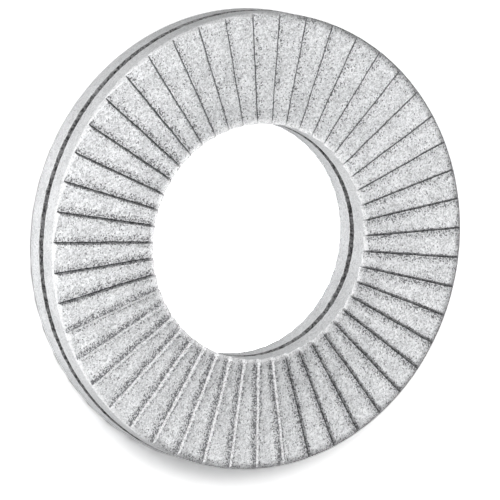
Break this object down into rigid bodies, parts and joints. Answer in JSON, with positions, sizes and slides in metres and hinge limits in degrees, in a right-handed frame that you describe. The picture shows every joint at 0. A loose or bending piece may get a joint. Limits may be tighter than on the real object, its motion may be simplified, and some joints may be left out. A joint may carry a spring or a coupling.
{
  "type": "wedge lock washer pair",
  "caption": "Pair of identical lock washers nested cam face to cam face, with radial ratchet serrations on both outer faces, for locking a bolted joint by wedge action.",
  "frame": {"origin": "centre of the bore on the plane of the lower serration crests, on which the pair lies", "axes": "+Z along the bolt axis, up through the pair; +X along the crest of one serration of the upper washer"},
  "size_m": [0.021, 0.021, 0.0025],
  "materials": {
    "zinc_flake_steel": "matte silver-grey zinc flake coat on hardened steel, fine speckle"
  },
  "bodies": {
    "root": {"upper_washer": "zinc_flake_steel", "lower_washer": "zinc_flake_steel"}
  },
  "joints": []
}
